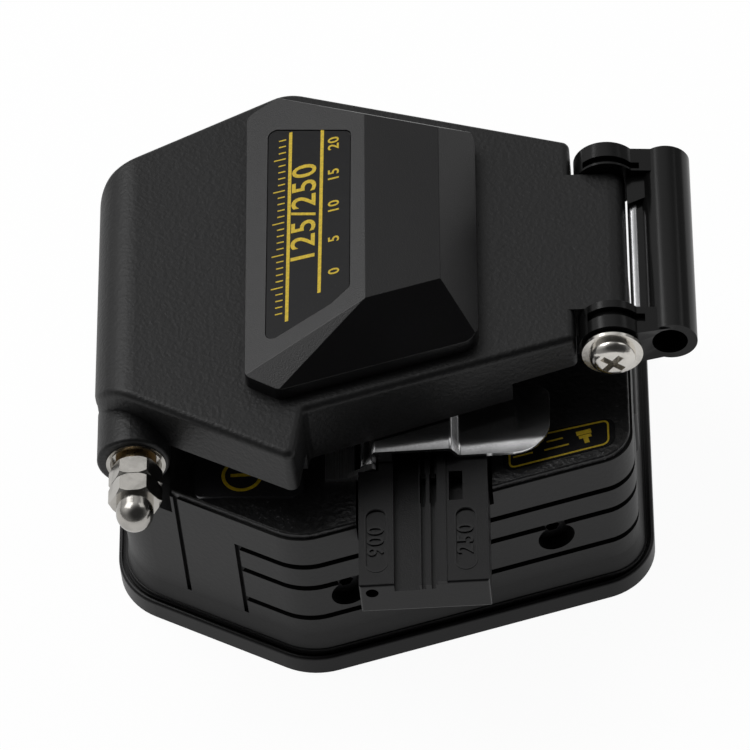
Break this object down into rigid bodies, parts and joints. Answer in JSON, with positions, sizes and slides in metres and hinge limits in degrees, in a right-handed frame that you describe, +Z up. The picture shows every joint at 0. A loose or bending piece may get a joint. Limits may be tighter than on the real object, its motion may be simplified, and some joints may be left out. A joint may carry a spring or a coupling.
{
  "type": "fibre cleaver",
  "caption": "Desktop fibre cleaver: black six-sided base, hinged lid with thumb pad and swing latch, steel flap over a fibre holder, sliding blade carriage inside.",
  "frame": {"origin": "middle of the underside of the base tray, on its foot pad", "axes": "+X from the hinge to the latch, +Y from the fibre holder to the back, +Z up"},
  "size_m": [0.0717, 0.0695, 0.044],
  "materials": {
    "body_paint": "semi-gloss black paint on a casting",
    "deck_paint": "grainy satin black",
    "lid_paint": "grainy satin black",
    "pad_plastic": "smooth satin black",
    "tray_plastic": "satin black",
    "latch_plastic": "gloss black",
    "holder_plastic": "satin black",
    "label_film": "black film with yellow print",
    "index_film": "gloss black with a yellow ring",
    "foot_rubber": "matt black",
    "pad_rubber": "matt black",
    "knob_plastic": "satin black",
    "fixing_steel": "bright plated",
    "shaft_steel": "ground steel",
    "flap_steel": "polished sheet",
    "bush_brass": "plain turned brass",
    "block_alloy": "machined",
    "blade_steel": "lapped carbide",
    "spring_steel": "wire",
    "black_screw": "blackened steel"
  },
  "bodies": {
    "base": {"base_tray": "tray_plastic", "foot_pad": "foot_rubber", "base_body": "body_paint", "deck_plate": "deck_paint", "index_plate": "index_film", "base_screws": "black_screw", "deck_screws": "black_screw", "side_screws": "black_screw", "hinge_block": "block_alloy", "block_screws": "black_screw", "hinge_shaft": "shaft_steel", "hinge_nuts": "fixing_steel", "hinge_cap": "fixing_steel", "lower_clamps": "block_alloy", "lower_pads": "pad_rubber", "guide_rail": "shaft_steel", "rail_screws": "black_screw", "fibre_holder": "holder_plastic", "holder_magnet": "fixing_steel", "holder_screw": "black_screw", "flap_bracket": "flap_steel", "flap_pin": "shaft_steel"},
    "lid": {"lid_shell": "lid_paint", "thumb_pad": "pad_plastic", "label_plate": "label_film", "hinge_bushes": "bush_brass", "hinge_ring": "fixing_steel", "under_cover": "holder_plastic", "cover_screws": "black_screw", "upper_clamps": "block_alloy", "upper_pads": "pad_rubber", "anvil_guide": "block_alloy", "latch_screws": "fixing_steel"},
    "latch": {"latch_frame": "latch_plastic", "latch_rod": "shaft_steel"},
    "flap": {"clamp_flap": "flap_steel", "flap_pad": "pad_rubber"},
    "carriage": {"carriage": "block_alloy", "set_screw": "black_screw", "slider_knob": "knob_plastic", "blade_cover": "shaft_steel", "blade_spindle": "shaft_steel"},
    "blade": {"blade_wheel": "blade_steel", "blade_hub": "block_alloy"},
    "anvil": {"anvil_stem": "shaft_steel", "anvil_tip": "pad_rubber", "anvil_nut": "shaft_steel", "anvil_spring": "spring_steel"}
  },
  "joints": [
    {"name": "lid_hinge", "type": "hinge", "parent": "base", "child": "lid", "pos_m": [-0.0272, 0, 0.031], "axis": [0, -1, 0], "range_deg": [0, 80]},
    {"name": "flap_lift", "type": "hinge", "parent": "base", "child": "flap", "pos_m": [-0.0003, -0.0155, 0.0253], "axis": [0, -1, 0], "range_deg": [0, 80]},
    {"name": "latch_pivot", "type": "hinge", "parent": "lid", "child": "latch", "pos_m": [0.02915, 0.0031, 0.0341], "axis": [0, 1, 0], "range_deg": [0, 60]},
    {"name": "slider_slide", "type": "slide", "parent": "base", "child": "carriage", "axis": [1, 0, 0], "range_m": [0, 0.02]},
    {"name": "blade_index", "type": "hinge", "parent": "carriage", "child": "blade", "pos_m": [-0.009, 0, 0.01735], "axis": [0, 1, 0], "continuous": true},
    {"name": "anvil_press", "type": "slide", "parent": "lid", "child": "anvil", "axis": [0, 0, 1], "range_m": [0, 0.001], "stiffness_N_per_m": 300, "springref_m": -0.001, "deforming": ["anvil_spring"]}
  ],
  "couplings": [
    {"joint": "flap_lift", "follows": "lid_hinge", "ratio": 1}
  ]
}
